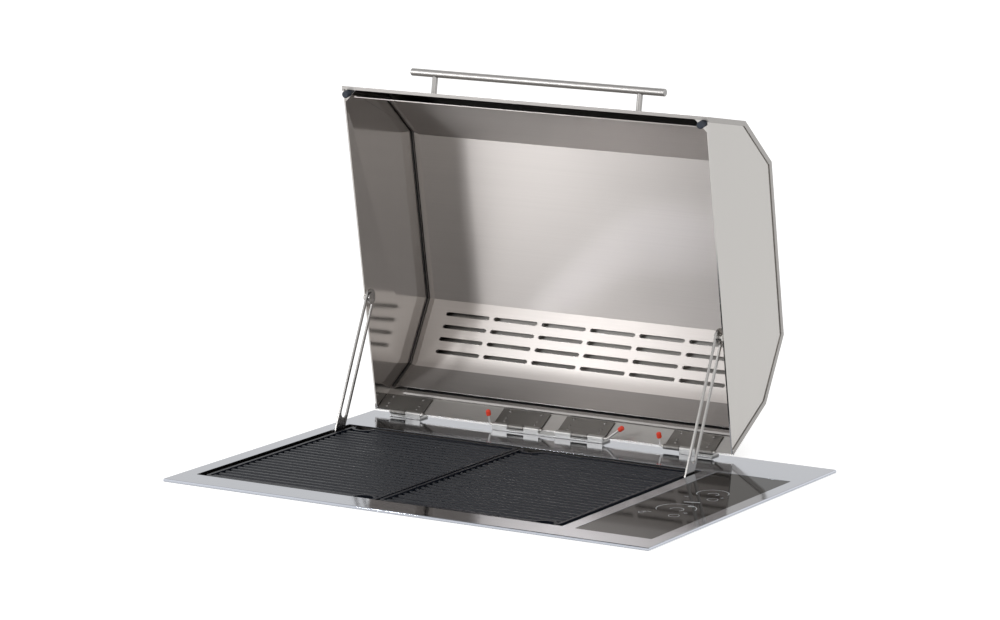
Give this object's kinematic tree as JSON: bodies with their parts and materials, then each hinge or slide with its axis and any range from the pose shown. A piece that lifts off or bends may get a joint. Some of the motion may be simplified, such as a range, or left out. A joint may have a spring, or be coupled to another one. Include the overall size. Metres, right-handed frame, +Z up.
{
  "type": "built-in electric grill",
  "caption": "Worktop-mounted electric grill: steel plate with cast grates and a touch glass under a folded steel lid that hinges at the back on slotted stays.",
  "frame": {"origin": "middle of the casing's underside", "axes": "+X to the cook's right along the plate, +Y away from the cook, +Z up"},
  "size_m": [0.73, 0.6417, 0.5965],
  "materials": {
    "plate_steel": "brushed stainless steel, fine straight grain",
    "lid_steel": "brushed stainless steel",
    "liner_steel": "satin stainless steel",
    "bright_steel": "bright drawn stainless steel",
    "dark_steel": "darkened stainless steel",
    "cast_iron": "matt non-stick coating on cast metal",
    "black_glass": "polished black ceramic glass",
    "rubber": "moulded rubber",
    "red_vinyl": "dip moulded vinyl",
    "zinc": "zinc plated sheet steel",
    "heater_sheath": "oxidised heater sheath",
    "ceramic": "unglazed steatite",
    "circuit_board": "solder resist on glass laminate",
    "nylon": "black nylon"
  },
  "bodies": {
    "base": {"trim_plate": "plate_steel", "worktop_gasket": "rubber", "grill_well": "bright_steel", "outer_casing": "zinc", "heat_shield": "zinc", "glass_panel": "black_glass", "glass_carrier": "zinc", "touch_board": "circuit_board", "power_board": "circuit_board", "terminal_block": "nylon", "cable_gland": "nylon", "element_socket_left": "ceramic", "element_socket_right": "ceramic", "grate_rail_front": "bright_steel", "grate_rail_rear": "bright_steel", "clamp_front_left": "zinc", "clamp_front_right": "zinc", "clamp_rear_left": "zinc", "clamp_rear_right": "zinc", "hinge_bracket_1": "lid_steel", "hinge_bracket_23": "lid_steel", "hinge_bracket_4": "lid_steel", "stay_pivot_left": "bright_steel", "stay_pivot_right": "bright_steel"},
    "lid": {"lid_skin": "lid_steel", "lid_side_left": "lid_steel", "lid_side_right": "lid_steel", "lid_liner": "liner_steel", "liner_edge_left": "liner_steel", "liner_edge_right": "liner_steel", "liner_rear_rail": "bright_steel", "bumper_left": "rubber", "bumper_right": "rubber", "handle_bar": "bright_steel", "handle_post_left": "bright_steel", "handle_post_right": "bright_steel", "handle_screw_left": "zinc", "handle_screw_right": "zinc", "lid_leaf_1": "dark_steel", "lid_leaf_2": "dark_steel", "lid_leaf_3": "dark_steel", "lid_leaf_4": "dark_steel", "hinge_pin_1": "bright_steel"},
    "lid_pin_2": {"hinge_pin_2": "bright_steel", "pin_cap_2": "red_vinyl"},
    "lid_pin_3": {"hinge_pin_3": "bright_steel", "pin_cap_3": "red_vinyl"},
    "lid_pin_4": {"hinge_pin_4": "bright_steel", "pin_cap_4": "red_vinyl"},
    "left_stay": {"stay_left": "bright_steel"},
    "left_button": {"stay_button_left": "bright_steel"},
    "right_stay": {"stay_right": "bright_steel"},
    "right_button": {"stay_button_right": "bright_steel"},
    "left_grate": {"grate_left": "cast_iron"},
    "right_grate": {"grate_right": "cast_iron"},
    "left_element": {"element_left": "heater_sheath"},
    "right_element": {"element_right": "heater_sheath"},
    "left_tray": {"drip_tray_left": "bright_steel"},
    "right_tray": {"drip_tray_right": "bright_steel"}
  },
  "joints": [
    {"name": "lid_hinge", "type": "hinge", "parent": "base", "child": "lid", "pos_m": [-0.06625, 0.2354, 0.1032], "axis": [-1, 0, 0], "range_deg": [-80.06, 0]},
    {"name": "left_stay_pivot", "type": "hinge", "parent": "base", "child": "left_stay", "pos_m": [-0.3403, 0.1262, 0.0842], "axis": [-1, 0, 0], "range_deg": [-93.29, 0]},
    {"name": "left_button_slide", "type": "slide", "parent": "left_stay", "child": "left_button", "axis": [0, 0.4158, 0.9095], "range_m": [-0.1404, 0]},
    {"name": "right_stay_pivot", "type": "hinge", "parent": "base", "child": "right_stay", "pos_m": [0.2105, 0.1262, 0.0842], "axis": [-1, 0, 0], "range_deg": [-93.29, 0]},
    {"name": "right_button_slide", "type": "slide", "parent": "right_stay", "child": "right_button", "axis": [0, 0.4158, 0.9095], "range_m": [-0.1404, 0]},
    {"name": "pin_2_pull", "type": "slide", "parent": "lid", "child": "lid_pin_2", "axis": [-1, 0, 0], "range_m": [0, 0.024]},
    {"name": "pin_3_pull", "type": "slide", "parent": "lid", "child": "lid_pin_3", "axis": [1, 0, 0], "range_m": [0, 0.024]},
    {"name": "pin_4_pull", "type": "slide", "parent": "lid", "child": "lid_pin_4", "axis": [-1, 0, 0], "range_m": [0, 0.024]},
    {"name": "left_grate_lift", "type": "slide", "parent": "base", "child": "left_grate", "axis": [0, 0, 1], "range_m": [0, 0.12]},
    {"name": "left_element_lift", "type": "slide", "parent": "base", "child": "left_element", "axis": [0, 0, 1], "range_m": [0, 0.0801]},
    {"name": "left_tray_lift", "type": "slide", "parent": "base", "child": "left_tray", "axis": [0, 0, 1], "range_m": [0, 0.0401]},
    {"name": "right_grate_lift", "type": "slide", "parent": "base", "child": "right_grate", "axis": [0, 0, 1], "range_m": [0, 0.12]},
    {"name": "right_element_lift", "type": "slide", "parent": "base", "child": "right_element", "axis": [0, 0, 1], "range_m": [0, 0.0801]},
    {"name": "right_tray_lift", "type": "slide", "parent": "base", "child": "right_tray", "axis": [0, 0, 1], "range_m": [0, 0.0401]}
  ],
  "couplings": [
    {"joint": "left_stay_pivot", "follows": "lid_hinge", "ratio": 1.165},
    {"joint": "left_button_slide", "follows": "lid_hinge", "m_per_rad": 0.1004},
    {"joint": "left_element_lift", "follows": "left_grate_lift", "ratio": 0.6667},
    {"joint": "left_tray_lift", "follows": "left_grate_lift", "ratio": 0.3333},
    {"joint": "right_stay_pivot", "follows": "lid_hinge", "ratio": 1.165},
    {"joint": "right_button_slide", "follows": "lid_hinge", "m_per_rad": 0.1004},
    {"joint": "right_element_lift", "follows": "right_grate_lift", "ratio": 0.6667},
    {"joint": "right_tray_lift", "follows": "right_grate_lift", "ratio": 0.3333}
  ]
}
